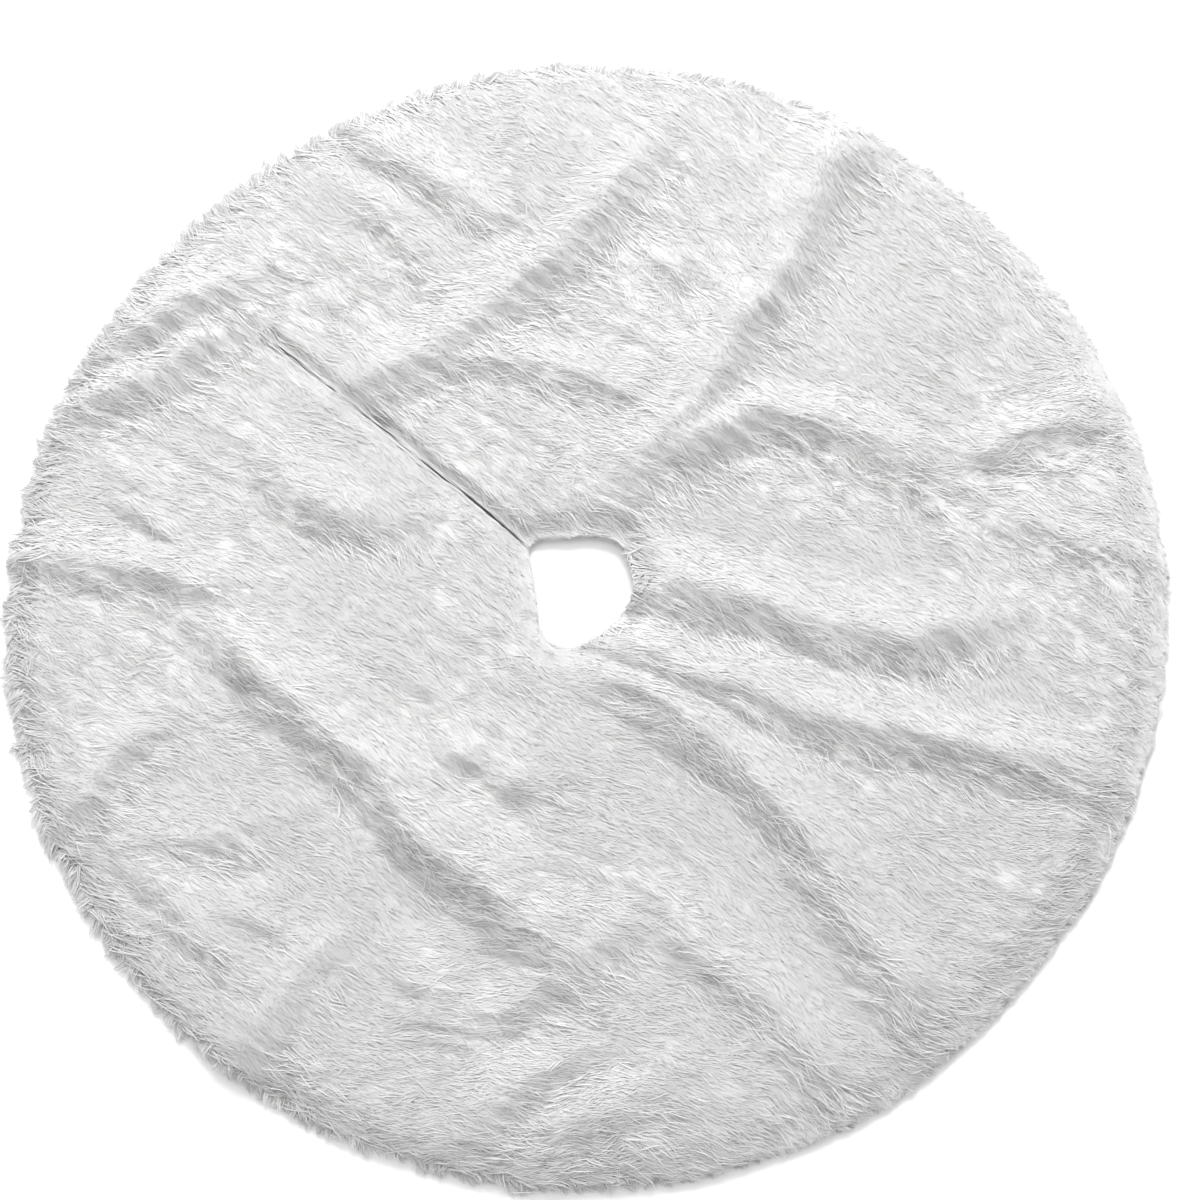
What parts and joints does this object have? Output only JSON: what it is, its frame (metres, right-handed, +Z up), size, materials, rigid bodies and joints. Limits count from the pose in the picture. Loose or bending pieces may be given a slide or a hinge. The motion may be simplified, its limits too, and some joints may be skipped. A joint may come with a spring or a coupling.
{
  "type": "tree skirt",
  "caption": "Round white long-pile faux-fur tree skirt lying flat, with a central trunk hole, a slit to the rim, a fold-back flap and hidden hook-and-loop tabs.",
  "frame": {"origin": "on the floor at the centre of the trunk hole and of the rim's circle", "axes": "+Z up out of the pile; +X right and +Y away as the skirt lies spread out; the slit runs from the hole to the rim at 140 degrees from +X, and the flap folds back about the -X radius"},
  "size_m": [1.21, 1.21, 0.042],
  "materials": {
    "fur_pile": "long soft pile, combed one way",
    "knit_backing": "fine knit",
    "lining": "plain weave, matte",
    "binding_tape": "twill tape",
    "webbing": "flat woven webbing",
    "hook_strip": "nylon hooks",
    "loop_strip": "brushed nylon loops",
    "label_satin": "satin, blank",
    "thread": "twisted polyester thread"
  },
  "bodies": {
    "skirt": {"pile_main": "fur_pile", "backing_main": "knit_backing", "lining_main": "lining", "rim_binding_main": "binding_tape", "hole_binding_main": "binding_tape", "slit_binding_main": "binding_tape", "rim_stitches_main": "thread", "hole_stitches_main": "thread", "slit_stitches_main": "thread", "tab_margins": "webbing", "tab_stitches": "thread", "care_label": "label_satin", "label_stitches": "thread"},
    "flap": {"pile_flap": "fur_pile", "backing_flap": "knit_backing", "lining_flap": "lining", "rim_binding_flap": "binding_tape", "hole_binding_flap": "binding_tape", "slit_binding_flap": "binding_tape", "rim_stitches_flap": "thread", "hole_stitches_flap": "thread", "slit_stitches_flap": "thread", "loop_strips": "loop_strip", "loop_stitches": "thread"},
    "tab_inner_free": {"tab_inner": "webbing", "hook_inner": "hook_strip"},
    "tab_middle_free": {"tab_middle": "webbing", "hook_middle": "hook_strip"},
    "tab_outer_free": {"tab_outer": "webbing", "hook_outer": "hook_strip"}
  },
  "joints": [
    {"name": "flap_fold", "type": "hinge", "parent": "skirt", "child": "flap", "pos_m": [-0.33, 0, 0.02], "axis": [1, 0, 0], "range_deg": [0, 150]},
    {"name": "tab_inner_lift", "type": "hinge", "parent": "skirt", "child": "tab_inner_free", "pos_m": [-0.14536, 0.12236, 0.0008], "axis": [-0.766, 0.6428, 0], "range_deg": [0, 46]},
    {"name": "tab_middle_lift", "type": "hinge", "parent": "skirt", "child": "tab_middle_free", "pos_m": [-0.2526, 0.21235, 0.0008], "axis": [-0.766, 0.6428, 0], "range_deg": [0, 46]},
    {"name": "tab_outer_lift", "type": "hinge", "parent": "skirt", "child": "tab_outer_free", "pos_m": [-0.35985, 0.30234, 0.0008], "axis": [-0.766, 0.6428, 0], "range_deg": [0, 46]}
  ],
  "couplings": [
    {"joint": "tab_inner_lift", "follows": "flap_fold", "ratio": 0.3},
    {"joint": "tab_middle_lift", "follows": "flap_fold", "ratio": 0.3},
    {"joint": "tab_outer_lift", "follows": "flap_fold", "ratio": 0.3}
  ]
}
